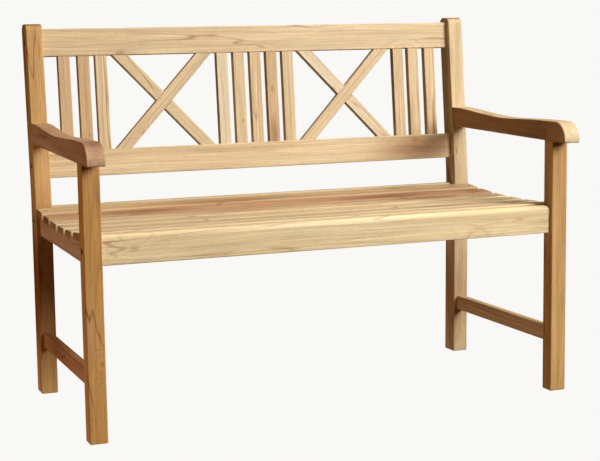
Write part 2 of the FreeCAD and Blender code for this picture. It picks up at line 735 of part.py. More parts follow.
def above_arm_underside():
    """Everything over the plane of the arm's underside."""
    y0, y1 = -200.0, 900.0
    loop = [Vector(0, y0, arm_underside(y0)), Vector(0, y1, arm_underside(y1)),
            Vector(0, y1, 2000), Vector(0, y0, 2000), Vector(0, y0, arm_underside(y0))]
    return extrude_along(Part.makePolygon(loop), 0, HALF_WIDTH + 10)


def arm_outline():
    """Side view of an armrest: round nose, dipped top that rises to the post."""
    nose_centre = -ARM_OVERHANG + ARM_NOSE_RADIUS
    top = arm_underside(nose_centre) + ARM_NOSE_HEIGHT
    rear = POST_BEND_FRONT + 40
    run = POST_BEND_FRONT - nose_centre
    diagonal = ARM_NOSE_RADIUS * math.sqrt(0.5)
    nose_start = Vector(0, -ARM_OVERHANG, top - ARM_NOSE_RADIUS)
    nose_middle = Vector(0, nose_centre - diagonal, top - ARM_NOSE_RADIUS + diagonal)
    nose_end = Vector(0, nose_centre, top)
    # share of the run from nose to post, and height of the top there over the nose
    rise = [(0.14, 0.6), (0.30, -0.5), (0.44, -ARM_DIP_DEPTH), (0.55, -0.6 * ARM_DIP_DEPTH),
            (0.66, 0.16 * ARM_REAR_RISE), (0.77, 0.46 * ARM_REAR_RISE), (0.88, 0.81 * ARM_REAR_RISE),
            (0.97, ARM_REAR_RISE), (rear / run, ARM_REAR_RISE)]
    points = [nose_end]
    for share, height in rise:
        points.append(Vector(0, nose_centre + share * run, top + height))
    curve = Part.BSplineCurve()
    curve.interpolate(points, InitialTangent=Vector(0, 1, 0), FinalTangent=Vector(0, 1, 0))
    low_rear = Vector(0, points[-1].y, arm_underside(points[-1].y))
    low_front = Vector(0, -ARM_OVERHANG, arm_underside(-ARM_OVERHANG))
    corner = ARM_NOSE_CORNER_RADIUS
    low_start = Vector(0, low_front.y + corner, arm_underside(low_front.y + corner))
    low_end = Vector(0, low_front.y, low_front.z + corner)
    low_middle = Vector(0, low_front.y + corner * 0.293, low_front.z + corner * 0.293)
    wire = [Part.Arc(nose_start, nose_middle, nose_end).toShape(), curve.toShape(),
            Part.makeLine(points[-1], low_rear), Part.makeLine(low_rear, low_start),
            Part.Arc(low_start, low_middle, low_end).toShape(), Part.makeLine(low_end, nose_start)]
    return Part.Wire(wire)


def armrest():
    arm = extrude_along(arm_outline(), LEG_INNER_X, HALF_WIDTH)
    far_end = max(vertex.Y for vertex in arm.Vertexes)
    arm = round_edges(arm, ARM_EDGE_RADIUS,
                      lambda edge: on_side_face(edge, LEG_INNER_X, HALF_WIDTH)
                      and min(vertex.Y for vertex in edge.Vertexes) < far_end - 1)
    arm = arm.cut(behind_post_front())
    arm = arm.fuse(arm_rear_tenon(0)).removeSplitter()
    return arm.cut(leg_top_tenon(TENON_SIDE_CLEARANCE))


def behind_post_front():
    """Everything behind the front face of the rear post."""
    corners = list(post_corners())
    corners[3] = (corners[3][0] + 400, corners[3][1], 0)
    corners[4] = (corners[4][0] + 400, corners[4][1], 0)
    corners[5] = (corners[5][0] + 400, corners[5][1], 0)
    return extrude_along(rounded_outline(corners), 0, HALF_WIDTH + 10)


def side_rail():
    rear = post_front(SIDE_RAIL_REAR_BOTTOM)
    outline = under_slats(FRONT_LEG_DEPTH, rear, SIDE_RAIL_FRONT_BOTTOM, SIDE_RAIL_REAR_BOTTOM)
    half = RAIL_THICKNESS / 2
    rail = extrude_along(outline, LEG_CENTRE_X - half, LEG_CENTRE_X + half)
    rail = rail.cut(box(0, BENCH_WIDTH, -100, FRONT_LEG_DEPTH, 0, BENCH_HEIGHT))
    rail = rail.cut(behind_post_front())
    low_edges = [edge for edge in rail.Edges
                 if abs(edge.Vertexes[0].Y - edge.Vertexes[-1].Y) > 300
                 and edge.Vertexes[0].Z < DISH_LOW_HEIGHT - SLAT_THICKNESS - 10]
    rail = rail.makeFillet(RAIL_EDGE_RADIUS, low_edges)
    rail = rail.fuse(side_rail_tenons(0)).removeSplitter()
    return drilled_for_screws(rail, LEG_CENTRE_X)


def side_stretcher():
    half = RAIL_THICKNESS / 2
    rail = box(LEG_CENTRE_X - half, LEG_CENTRE_X + half, FRONT_LEG_DEPTH, POST_BEND_REAR,
               STRETCHER_BOTTOM, STRETCHER_BOTTOM + STRETCHER_HEIGHT)
    rail = round_edges(rail, RAIL_EDGE_RADIUS, lambda edge: runs_along(edge, BACKWARD))
    rail = rail.cut(behind_post_front())
    return rail.fuse(stretcher_tenons(0)).removeSplitter()


# ---- everything by name --------------------------------------------------
def bench_nodes():
    nodes = {}
    paired = {"front_leg": front_leg(), "rear_post": rear_post(), "armrest": armrest(),
              "side_seat_rail": side_rail(), "side_stretcher": side_stretcher()}
    for name, shape in paired.items():
        nodes[name + "_left"] = mirror(shape)
        nodes[name + "_right"] = shape
    nodes["front_apron"] = front_apron()
    nodes["rear_seat_rail"] = rear_seat_rail()
    nodes["centre_seat_bearer"] = centre_bearer()
    nodes["top_back_rail"] = back_rail("top_rail")
    nodes["lower_back_rail"] = back_rail("lower_back_rail")
    for index, x in enumerate(side_slat_centres()):
        nodes["back_slat_left_%d" % (index + 1)] = back_slat(-x)
        nodes["back_slat_right_%d" % (index + 1)] = back_slat(x)
    for index, x in enumerate(centre_slat_centres()):
        nodes["back_slat_centre_%d" % (index + 1)] = back_slat(x)
    for side, word in ((-1, "left"), (1, "right")):
        nodes["cross_bar_%s_rising" % word] = cross_bar(side, True)
        nodes["cross_bar_%s_falling" % word] = cross_bar(side, False)
    for index in range(SLAT_COUNT):
        nodes["seat_slat_%d" % (index + 1)] = seat_slat(index)
    spots = rail_bolt_spots().values()
    bolts = [bolt(spot) for spot, direction in spots]
    washers = [washer(spot) for spot, direction in spots]
    nuts = [barrel_nut(spot, direction) for spot, direction in spots]
    for name, solids in (("frame_bolts", bolts), ("bolt_washers", washers), ("barrel_nuts", nuts)):
        nodes[name] = Part.makeCompound(solids + [mirror(solid) for solid in solids])
    nodes["seat_slat_screws"] = Part.makeCompound(on_every_slat(screw))
    nodes["seat_slat_plugs"] = Part.makeCompound(on_every_slat(plug))
    return nodes


def main():
    os.makedirs("parts", exist_ok=True)
    for name, shape in bench_nodes().items():
        shape.translate(Vector(0, -ORIGIN_Y, 0))
        shape.exportStep("parts/%s.step" % name)
        print(name, len(shape.Solids), round(shape.Volume), shape.isValid())


main()
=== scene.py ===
import math
import random

import bpy
import numpy as np
from bpy.props import CollectionProperty, FloatProperty, FloatVectorProperty, PointerProperty
from mathutils import Euler, Matrix, Vector


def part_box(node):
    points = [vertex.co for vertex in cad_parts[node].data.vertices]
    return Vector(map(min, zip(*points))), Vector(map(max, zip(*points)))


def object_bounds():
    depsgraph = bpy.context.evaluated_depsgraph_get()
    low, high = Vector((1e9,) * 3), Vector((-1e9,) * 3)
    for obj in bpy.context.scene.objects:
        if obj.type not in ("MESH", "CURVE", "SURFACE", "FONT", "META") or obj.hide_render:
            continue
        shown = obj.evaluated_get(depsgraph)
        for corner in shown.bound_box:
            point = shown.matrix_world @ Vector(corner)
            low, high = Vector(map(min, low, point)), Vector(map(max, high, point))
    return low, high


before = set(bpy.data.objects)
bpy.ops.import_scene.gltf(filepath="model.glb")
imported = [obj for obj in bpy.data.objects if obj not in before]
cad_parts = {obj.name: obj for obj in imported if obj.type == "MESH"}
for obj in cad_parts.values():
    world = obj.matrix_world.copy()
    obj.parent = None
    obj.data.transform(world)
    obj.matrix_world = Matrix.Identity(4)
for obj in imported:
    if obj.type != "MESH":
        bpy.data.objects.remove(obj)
CAD_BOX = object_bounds()

bl_info = {
    "name": "Teak garden bench",
    "version": (1, 0, 0),
    "blender": (4, 5, 0),
    "location": "3D View > Sidebar > Bench",
    "description": "Finishes for each board and fitting of a two-seat garden bench, and a small studio",
    "category": "Object",
}

MM = 0.001


# ---------------------------------------------------------------- helpers


def linear(hex_colour):
    """An sRGB hex colour as linear red, green and blue."""
    parts = [int(hex_colour[i : i + 2], 16) / 255 for i in (0, 2, 4)]
    return tuple(p / 12.92 if p <= 0.04045 else ((p + 0.055) / 1.055) ** 2.4 for p in parts)


def add(tree, kind, links=None, **settings):
    """Adds a node. links gives its inputs by name or number: an output to join on, or a plain value."""
    node = tree.nodes.new(kind)
    for key, value in settings.items():
        if key == "ramp":
            while len(node.color_ramp.elements) < len(value):
                node.color_ramp.elements.new(0.5)
            for element, (place, colour) in zip(node.color_ramp.elements, value):
                element.position = place
                element.color = colour
        else:
            setattr(node, key, value)
    for key, value in (links or {}).items():
        if isinstance(value, bpy.types.NodeSocket):
            tree.links.new(value, node.inputs[key])
        else:
            node.inputs[key].default_value = value
    return node


def blank_material(name):
    """A new material with only its output node."""
    finish = bpy.data.materials.new(name)
    finish.use_nodes = True
    finish.node_tree.nodes.clear()
    return finish


def grey(value):
    """A grey for a colour ramp."""
    return (value, value, value, 1.0)


def board_frame(node):
    """The middle of a board and the way it was sawn: rows for its length, its width and its thickness."""
    points = np.array([v.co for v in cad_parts[node].data.vertices])
    low, high = points.min(0), points.max(0)
    spread = np.cov((points - points.mean(0)).T)
    values, vectors = np.linalg.eigh(spread)
    rows = [vectors[:, i] for i in np.argsort(-values)]
    rows = [row if row[np.argmax(np.abs(row))] > 0 else -row for row in rows]
    rows[2] = np.cross(rows[0], rows[1])
    return Vector((low + high) / 2), Matrix([tuple(row) for row in rows])


def put_on(node, finish):
    """Gives every face of a piece one finish."""
    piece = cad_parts[node]
    if not piece.material_slots:
        piece.data.materials.append(finish)
    for place in piece.material_slots:
        place.material = finish


# ---------------------------------------------------------------- finishes

# Each board's own tone, as boards from different parts of a log differ: pale, middle and dark wood.
TONES = {
    "cream": ("E2D1B2", "D6C09A", "9C6A3C"),
    "butter": ("F2DEB2", "E7CC98", "AA7A42"),
    "straw": ("DCC69E", "D0B486", "945E2C"),
    "sand": ("D4B88E", "C6A274", "884F24"),
    "honey": ("D3A96C", "C29354", "7C4418"),
    "amber": ("D4A362", "C28B46", "703810"),
    "tawny": ("CCA47E", "BA8C62", "723E1E"),
    "russet": ("BE8C60", "A87042", "66321A"),
}

BOARD_TONES = {
    "armrest_left": "tawny",
    "back_slat_centre_1": "cream",
    "back_slat_centre_4": "sand",
    "back_slat_left_2": "sand",
    "back_slat_left_3": "sand",
    "cross_bar_right_falling": "cream",
    "front_apron": "butter",
    "front_leg_left": "amber",
    "front_leg_right": "honey",
    "rear_post_left": "honey",
    "rear_post_right": "straw",
    "armrest_right": "straw",
    "seat_slat_5": "tawny",
    "seat_slat_6": "sand",
    "side_seat_rail_left": "tawny",
    "side_stretcher_left": "russet",
    "side_stretcher_right": "sand",
}

# Knots: how far along and across from the board's middle, and how far the rings bend round each, in metres.
KNOTS = {
    "front_apron": [(-0.485, 0.0, 0.028), (0.36, -0.045, 0.035)],
    "top_back_rail": [(-0.36, -0.03, 0.03), (0.12, 0.036, 0.03), (0.43, -0.034, 0.026)],
    "lower_back_rail": [(0.45, 0.02, 0.032), (-0.12, -0.04, 0.03)],
    "back_slat_centre_2": [(-0.06, 0.004, 0.016)],
    "back_slat_centre_4": [(0.02, -0.002, 0.02)],
    "back_slat_left_2": [(-0.08, 0.006, 0.014)],
    "cross_bar_left_rising": [(-0.1, 0.012, 0.014)],
    "seat_slat_4": [(-0.2, 0.0, 0.02)],
    "front_leg_left": [(-0.14, 0.012, 0.016)],
    "rear_post_right": [(-0.3, 0.0, 0.02)],
    "armrest_right": [(-0.22, 0.0, 0.018)],
}

# Dark patches: how far along and across from the middle, length and height in metres, and how brown each is.
# Most are smoky patches in the dark heart of the log. The one low on the left rear post is painted shadow,
# the shadow of the seat on it; those at the right end of the lower back rail and low on the right rear post
# only darken those places.
PATCHES = {
    "lower_back_rail": [(0.46, 0.0, 0.16, 0.05, 0.7)],
    "seat_slat_6": [(-0.1, -0.01, 0.3, 0.03, 0.6)],
    "seat_slat_5": [(0.28, 0.0, 0.2, 0.03, 0.7), (-0.36, 0.0, 0.16, 0.03, 0.6)],
    "seat_slat_4": [(0.38, 0.01, 0.16, 0.02, 0.7), (-0.12, 0.0, 0.2, 0.02, 0.5)],
    "seat_slat_2": [(0.34, 0.0, 0.12, 0.02, 0.6)],
    "back_slat_centre_4": [(-0.1, 0.0, 0.06, 0.014, 0.6)],
    "armrest_left": [(-0.26, 0.0, 0.06, 0.03, 0.6)],
    # Painted shadow: the shadow of the seat on the lower part of the left rear post.
    "rear_post_left": [(-0.2, 0.0, 0.26, 0.12, 1.0)],
    "rear_post_right": [(-0.3, 0.0, 0.2, 0.06, 0.6)],
    "side_stretcher_left": [(0.1, 0.0, 0.2, 0.04, 0.6)],
}

# Painted shade: boards whose face towards low X is darkened as if in shade, and how deep it goes, in metres.
# Here the inner face of the right armrest.
PAINTED_SHADE_FACES = {"armrest_right": 5.0 * MM}


def spots_on(tree, board, spots):
    """How far each place on a board is from the middle of each spot, in shares of the spot's reach."""
    for along, across, length, height in spots:
        away = add(
            tree, "ShaderNodeVectorMath", {0: board, 1: (along, across, 0.0)}, operation="SUBTRACT"
        ).outputs[0]
        shrunk = add(
            tree, "ShaderNodeVectorMath", {0: away, 1: (1 / length, 1 / height, 0.0)}, operation="MULTIPLY"
        ).outputs[0]
        yield add(tree, "ShaderNodeVectorMath", {0: shrunk}, operation="LENGTH").outputs["Value"]


def wandering(tree, board, shift, wander):
    """The log isn't straight: its rings wander by about a centimetre over a third of a metre."""
    lazy = add(tree, "ShaderNodeMapping", {"Vector": board, "Scale": (2.2, 7.0, 7.0), "Location": shift})
    bend = add(
        tree,
        "ShaderNodeTexNoise",
        {"Vector": lazy.outputs[0], "Scale": 1.0, "Detail": 1.5, "Roughness": 0.4},
    )
    sway = add(
        tree, "ShaderNodeVectorMath", {0: bend.outputs["Color"], 1: (0.5, 0.5, 0.5)}, operation="SUBTRACT"
    ).outputs[0]
    return add(
        tree,
        "ShaderNodeVectorMath",
        {0: sway, 1: (0.0, wander, wander), 2: board},
        operation="MULTIPLY_ADD",
    ).outputs[0]


def years_from_heart(tree, bent, pick, ring_spacing):
    """Years of growth between the heart of the log and each place. The heart lies off to one side, at a small
    angle to the board, so the rings run out in arches."""
    tilt = Euler((0.0, math.radians(pick.uniform(-1.6, 1.6)), math.radians(pick.uniform(-1.2, 1.2))))
    aside = pick.choice((-1, 1)) * pick.uniform(0.01, 0.05)
    below = pick.uniform(0.03, 0.075)
    heart = add(
        tree, "ShaderNodeMapping", {"Vector": bent, "Rotation": tilt, "Location": (0.0, aside, below)}
    ).outputs[0]
    across = add(
        tree, "ShaderNodeVectorMath", {0: heart, 1: (0.0, 1.0, 1.0)}, operation="MULTIPLY"
    ).outputs[0]
    radius = add(tree, "ShaderNodeVectorMath", {0: across}, operation="LENGTH").outputs["Value"]
    return add(tree, "ShaderNodeMath", {0: radius, 1: ring_spacing}, operation="DIVIDE").outputs[0]


def bend_round_knots(tree, node, board, years):
    """The years bent round each knot of a board, and how much of a knot's dark core each place holds."""
    core = 0.0
    knots = [(x, y, 2.0 * reach, reach) for x, y, reach in KNOTS.get(node, [])]
    for away in spots_on(tree, board, knots):
        swell = add(
            tree,
            "ShaderNodeMapRange",
            {"Value": away, "From Max": 1.7, "To Min": 3.4, "To Max": 0.0},
            interpolation_type="SMOOTHERSTEP",
        ).outputs[0]
        years = add(tree, "ShaderNodeMath", {0: years, 1: swell}, operation="ADD").outputs[0]
        pin = add(
            tree, "ShaderNodeMapRange", {"Value": away, "From Max": 0.3, "To Min": 0.6, "To Max": 0.0}
        )
        core = add(tree, "ShaderNodeMath", {0: pin.outputs[0], 1: core}, operation="MAXIMUM").outputs[0]
    return years, core


def ring_lines(tree, years, offset):
    """A line for each year, of uneven spacing and depth. Teak is ring-porous: each year starts with a dark
    row of wide pores and fades to pale late wood."""
    uneven = add(
        tree, "ShaderNodeTexNoise", {"W": years, "Scale": 0.45, "Detail": 1.0}, noise_dimensions="1D"
    ).outputs["Fac"]
    years = add(tree, "ShaderNodeMath", {0: uneven, 1: 2.4, 2: years}, operation="MULTIPLY_ADD").outputs[0]
    within = add(tree, "ShaderNodeMath", {0: years}, operation="FRACT").outputs[0]
    which = add(tree, "ShaderNodeMath", {0: years, 1: offset}, operation="ADD").outputs[0]
    which = add(tree, "ShaderNodeMath", {0: which, 1: 0.5}, operation="FLOOR").outputs[0]
    depth = add(tree, "ShaderNodeTexWhiteNoise", {"W": which}, noise_dimensions="1D").outputs["Value"]
    depth = add(tree, "ShaderNodeMapRange", {"Value": depth, "To Min": 0.2}).outputs[0]
    shape = add(
        tree,
        "ShaderNodeValToRGB",
        {"Fac": within},
        ramp=[(0.0, grey(0.5)), (0.07, grey(1.0)), (0.28, grey(0.35)), (0.75, grey(0.0)), (1.0, grey(0.5))],
    ).outputs["Color"]
    return add(tree, "ShaderNodeMath", {0: shape, 1: depth}, operation="MULTIPLY").outputs[0]


def soft_layers(tree, bent, shift, settings):
    """Softer changes, each a noise stretched along the board."""
    fibre = 1 / settings.streak_width
    pore = 1 / settings.pore_width
    # How often each turns in a metre along and across, its detail and its roughness. The real fibres and
    # pores are finer than these and wouldn't show.
    layers = {
        "clouds": ((2.6, 24.0, 24.0), 3.0, 0.55),
        "bands": ((0.9, 80.0, 80.0), 2.0, 0.5),
        "fibres": ((3.2, fibre, fibre), 4.0, 0.6),
        "pores": ((60.0, pore, pore), 2.0, 0.5),
        "wisps": ((1.8, 20.0, 20.0), 2.0, 0.45),
    }
    soft = {}
    for layer, (scale, detail, roughness) in layers.items():
        start = shift * (1 + len(soft))
        placed = add(tree, "ShaderNodeMapping", {"Vector": bent, "Scale": scale, "Location": start})
        soft[layer] = add(
            tree,
            "ShaderNodeTexNoise",
            {"Vector": placed.outputs[0], "Scale": 1.0, "Detail": detail, "Roughness": roughness},
        )
    return soft


def smoke_and_painted_shadow_on(tree, node, bent, cloud, chance, scattered):
    """Smoky brown: a little anywhere, and the patches that this board has, one of which is a painted shadow
    on the left rear post.
    """
    smoke = add(
        tree,
        "ShaderNodeMapRange",
        {"Value": chance, "From Min": 0.57, "From Max": 0.76, "To Max": scattered},
    ).outputs[0]
    patches = PATCHES.get(node, [])
    for away, patch in zip(spots_on(tree, bent, [patch[:4] for patch in patches]), patches):
        ragged = add(
            tree, "ShaderNodeMath", {0: cloud, 1: 0.6, 2: away}, operation="MULTIPLY_ADD"
        ).outputs[0]
        brown = add(
            tree,
            "ShaderNodeMapRange",
            {"Value": ragged, "From Min": 0.35, "From Max": 1.45, "To Min": patch[4], "To Max": 0.0},
            interpolation_type="SMOOTHSTEP",
        ).outputs[0]
        smoke = add(tree, "ShaderNodeMath", {0: smoke, 1: brown}, operation="MAXIMUM").outputs[0]
    return smoke


def painted_shade_on_low_x_face(tree, node, where):
    """Painted shade on the face towards low X: dark wood on the shaded inner face of the right armrest. It
    fades out in the depth.
    """
    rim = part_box(node)[0][0]
    depth = add(tree, "ShaderNodeSeparateXYZ", {0: where}).outputs["X"]
    return add(
        tree,
        "ShaderNodeMapRange",
        {
            "Value": depth,
            "From Min": rim + 1.2 * MM,
            "From Max": rim + PAINTED_SHADE_FACES[node],
            "To Min": 0.75,
            "To Max": 0.0,
        },
        interpolation_type="SMOOTHSTEP",
    ).outputs[0]


def wisps_on(tree, slow, chance):
    """Thin dark lines that follow the contours of a slow noise, here and there along the board."""
    level = add(tree, "ShaderNodeMath", {0: slow, 1: 0.5}, operation="SUBTRACT").outputs[0]
    level = add(tree, "ShaderNodeMath", {0: level}, operation="ABSOLUTE").outputs[0]
    thin = add(tree, "ShaderNodeMapRange", {"Value": level, "From Max": 0.013, "To Min": 1.0, "To Max": 0.0})
    here = add(tree, "ShaderNodeMapRange", {"Value": chance, "From Min": 0.46, "From Max": 0.6})
    return add(
        tree, "ShaderNodeMath", {0: thin.outputs[0], 1: here.outputs[0]}, operation="MULTIPLY"
    ).outputs[0]


def on_the_ends(tree, grain_way, share):
    """A share of one where a face looks along the grain, and none on the long faces."""
    normal = add(tree, "ShaderNodeNewGeometry").outputs["Normal"]
    facing = add(
        tree, "ShaderNodeVectorMath", {0: normal, 1: tuple(grain_way)}, operation="DOT_PRODUCT"
    ).outputs["Value"]
    facing = add(tree, "ShaderNodeMath", {0: facing}, operation="ABSOLUTE").outputs[0]
    return add(
        tree, "ShaderNodeMapRange", {"Value": facing, "From Min": 0.45, "From Max": 0.9, "To Max": share}
    ).outputs[0]


def teak(node, settings, tone=None, place=None):
    """Teak, sawn, planed and sanded. The eye gets long growth rings that run out in arches and bend round
    knots, fibres and dark wisps along the board, cloudy changes from straw to brown, darker ends and a low
    silky sheen."""
    pick = random.Random(node)
    colours = settings.tones[tone or BOARD_TONES.get(node, "straw")]
    pale, middle, dark = [(*colour, 1.0) for colour in (colours.pale, colours.middle, colours.dark)]
    middle_of_board, rows = place or board_frame(node)
    finish = blank_material("Sanded teak, " + node.replace("_", " "))
    tree = finish.node_tree

    # The board's own directions: X along the grain, Y across the face, Z through the thickness.
    where = add(tree, "ShaderNodeTexCoord").outputs["Object"]
    board = add(
        tree,
        "ShaderNodeMapping",
        {"Vector": where, "Rotation": rows.to_euler("XYZ"), "Location": -(rows @ middle_of_board)},
    ).outputs[0]
    shift = Vector([pick.uniform(-40, 40) for _ in range(3)])
    bent = wandering(tree, board, shift, settings.wander)
    years = years_from_heart(tree, bent, pick, settings.ring_spacing)
    years, core = bend_round_knots(tree, node, board, years)
    ring_line = ring_lines(tree, years, shift[0])

    soft = soft_layers(tree, bent, shift, settings)
    fibres = soft["fibres"].outputs["Fac"]
    cloud = add(
        tree, "ShaderNodeMapRange", {"Value": soft["clouds"].outputs["Fac"], "From Min": 0.3, "From Max": 0.7}
    ).outputs[0]
    pores = add(
        tree,
        "ShaderNodeMapRange",
        {"Value": soft["pores"].outputs["Fac"], "From Min": 0.56, "From Max": 0.72},
    ).outputs[0]
    chance = add(tree, "ShaderNodeSeparateColor", {0: soft["clouds"].outputs["Color"]}).outputs
    smoke = smoke_and_painted_shadow_on(tree, node, bent, cloud, chance[2], settings.smoke)
    # Painted shade: the shaded inner face of the right armrest is darkened together with the smoke.
    if node in PAINTED_SHADE_FACES:
        painted_shade = painted_shade_on_low_x_face(tree, node, where)
        smoke = add(tree, "ShaderNodeMath", {0: smoke, 1: painted_shade}, operation="MAXIMUM").outputs[0]
    wisp = wisps_on(tree, soft["wisps"].outputs["Fac"], chance[1])

    # Dark marks on the clouded ground colour: what makes each, and how strong it is. The smoke also carries
    # painted shade and painted shadow.
    marks = (
        (smoke, 1.0),
        (ring_line, settings.ring_contrast),
        (wisp, settings.wisps),
        (core, 1.0),
    )
    colour = add(tree, "ShaderNodeMix", {0: cloud, 6: pale, 7: middle}, data_type="RGBA").outputs[2]
    for amount, strength in marks:
        share = add(tree, "ShaderNodeMath", {0: amount, 1: strength}, operation="MULTIPLY").outputs[0]
        colour = add(tree, "ShaderNodeMix", {0: share, 6: colour, 7: dark}, data_type="RGBA").outputs[2]

    # End grain drinks more oil, so it is darker than the faces, but for the sanded noses of the armrests.
    if node.startswith("armrest"):
        soaked, ends = pale, on_the_ends(tree, rows[0], settings.end_grain_pale)
    else:
        soaked, ends = dark, on_the_ends(tree, rows[0], settings.end_grain_dark)
    colour = add(tree, "ShaderNodeMix", {0: ends, 6: colour, 7: soaked}, data_type="RGBA").outputs[2]

    # Each of these makes the wood lighter or darker: what it reads, from where to where, and by how much.
    for value, low, high, least, most in (
        (soft["bands"].outputs["Fac"], 0.3, 0.7, 1 - settings.band_contrast, 1 + settings.band_contrast),
        (fibres, 0.3, 0.7, 1 - settings.streak_contrast, 1 + settings.streak_contrast * 0.6),
        (pores, 0.0, 1.0, 1.0, 1 - settings.pore_contrast),
    ):
        shade = add(
            tree,
            "ShaderNodeMapRange",
            {"Value": value, "From Min": low, "From Max": high, "To Min": least, "To Max": most},
        ).outputs[0]
        colour = add(tree, "ShaderNodeVectorMath", {0: colour, 3: shade}, operation="SCALE").outputs[0]

    roughness = add(
        tree,
        "ShaderNodeMapRange",
        {
            "Value": fibres,
            "From Min": 0.25,
            "From Max": 0.75,
            "To Min": settings.roughness - 0.06,
            "To Max": settings.roughness + 0.08,
        },
    ).outputs[0]
    height = add(tree, "ShaderNodeMath", {0: pores, 1: -0.6, 2: fibres}, operation="MULTIPLY_ADD").outputs[0]
    bump = add(tree, "ShaderNodeBump", {"Height": height, "Strength": 0.4, "Distance": 0.25 * MM}).outputs[0]
    surface = add(
        tree,
        "ShaderNodeBsdfPrincipled",
        {
            "Base Color": colour,
            "Roughness": roughness,
            "Normal": bump,
            "IOR": 1.46,
            "Specular IOR Level": 0.35,
        },
    )
    add(tree, "ShaderNodeOutputMaterial", {"Surface": surface.outputs[0]})
    return finish


def metal(name, colour, roughness, grain, unevenness):
    """A plain metal with fine marks. grain is the width of one mark in metres."""
    finish = blank_material(name)
    tree = finish.node_tree
    where = add(tree, "ShaderNodeTexCoord").outputs["Object"]
    marks = add(
        tree, "ShaderNodeTexNoise", {"Vector": where, "Scale": 1 / grain, "Detail": 3.0, "Roughness": 0.6}
    ).outputs["Fac"]
    worn = [c * (1 - unevenness) for c in colour]
    tint = add(
        tree, "ShaderNodeMix", {0: marks, 6: (*worn, 1.0), 7: (*colour, 1.0)}, data_type="RGBA"
    ).outputs[2]
    rough = add(
        tree,
        "ShaderNodeMapRange",
        {
            "Value": marks,
            "From Min": 0.3,
            "From Max": 0.7,
            "To Min": roughness - 0.07,
            "To Max": roughness + 0.1,
        },
    ).outputs[0]
    bump = add(tree, "ShaderNodeBump", {"Height": marks, "Strength": 0.15, "Distance": 0.05 * MM}).outputs[0]
    surface = add(
        tree,
        "ShaderNodeBsdfPrincipled",
        {"Base Color": tint, "Metallic": 1.0, "Roughness": rough, "Normal": bump},
    )
    add(tree, "ShaderNodeOutputMaterial", {"Surface": surface.outputs[0]})
    return finish


# ---------------------------------------------------------------- settings


class ToneSettings(bpy.types.PropertyGroup):
    """The three colours of one tone of teak. A new tone starts as straw."""

    pale: FloatVectorProperty(
        name="Pale", description="Lightest wood", default=linear(TONES["straw"][0]), subtype="COLOR", size=3
    )
    middle: FloatVectorProperty(
        name="Middle", description="Clouded wood", default=linear(TONES["straw"][1]), subtype="COLOR", size=3
    )
    dark: FloatVectorProperty(
        name="Dark", description="Rings and smoke", default=linear(TONES["straw"][2]), subtype="COLOR", size=3
    )


class TeakSettings(bpy.types.PropertyGroup):
    """How the teak looks."""

    tones: CollectionProperty(type=ToneSettings, name="Tones", description="The colours of each tone")
    ring_spacing: FloatProperty(
        name="Ring spacing", description="Width of one year's growth", default=5.0 * MM, unit="LENGTH"
    )
    wander: FloatProperty(
        name="Wander", description="How far the rings stray sideways", default=16.0 * MM, unit="LENGTH"
    )
    streak_width: FloatProperty(
        name="Streak width", description="Width of a fibre streak", default=3.2 * MM, unit="LENGTH"
    )
    pore_width: FloatProperty(
        name="Pore width", description="Width of a pore", default=1.0 * MM, unit="LENGTH"
    )
    ring_contrast: FloatProperty(
        name="Ring contrast", description="How dark the ring lines are", default=0.34, subtype="FACTOR"
    )
    streak_contrast: FloatProperty(
        name="Streak contrast", description="How much fibres differ", default=0.22, subtype="FACTOR"
    )
    band_contrast: FloatProperty(
        name="Band contrast", description="How much broad bands differ", default=0.1, subtype="FACTOR"
    )
    wisps: FloatProperty(
        name="Wisps", description="How dark the thin wisps are", default=0.75, subtype="FACTOR"
    )
    pore_contrast: FloatProperty(
        name="Pore contrast", description="How dark the pores are", default=0.25, subtype="FACTOR"
    )
    smoke: FloatProperty(
        name="Smoky patches", description="How brown the scattered smoke is", default=0.36, subtype="FACTOR"
    )
    end_grain_dark: FloatProperty(
        name="End grain", description="How much darker the board ends are", default=0.75, subtype="FACTOR"
    )
    end_grain_pale: FloatProperty(
        name="Sanded noses", description="How much paler the arm ends are", default=0.6, subtype="FACTOR"
    )
    roughness: FloatProperty(
        name="Roughness", description="From a sanding with fine paper", default=0.52, subtype="FACTOR"
    )


class FittingSettings(bpy.types.PropertyGroup):
    """Colours of the metal fittings."""

    steel: FloatVectorProperty(
        name="Steel", description="Bolts and screws", default=linear("B4B2AE"), subtype="COLOR", size=3
    )
    zinc: FloatVectorProperty(
        name="Zinc", description="Barrel nuts", default=linear("A9AEB3"), subtype="COLOR", size=3
    )


class StudioSettings(bpy.types.PropertyGroup):
    """Light, paper and camera."""

    paper: FloatVectorProperty(
        name="Paper", description="Colour of the floor", default=linear("F9F8F6"), subtype="COLOR", size=3
    )
    key_watts: FloatProperty(
        name="Key light", description="Power of the big soft light", default=505.0, unit="POWER"
    )
    top_watts: FloatProperty(
        name="Top light", description="Power of the light overhead", default=70.0, unit="POWER"
    )
    fill_watts: FloatProperty(
        name="Left fill", description="Power of the small fill", default=2.0, unit="POWER"
    )
    back_watts: FloatProperty(
        name="Back light", description="Power of the light behind", default=170.0, unit="POWER"
    )
    bounce_watts: FloatProperty(
        name="Floor bounce", description="Power of the light off the floor", default=46.0, unit="POWER"
    )
    air: FloatProperty(name="Air light", description="Light from all round", default=0.05, subtype="FACTOR")
    lens: FloatProperty(name="Lens", description="Focal length", default=85.3, unit="CAMERA")


# ---------------------------------------------------------------- pieces


def finish_boards(context, nodes):
    """Gives each board its own teak."""
    for node in nodes:
        put_on(node, teak(node, context.scene.bench_teak))
    return {"FINISHED"}


def boards_called(start):
    """The nodes whose names start alike, in order."""
    return sorted(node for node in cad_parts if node.startswith(start))


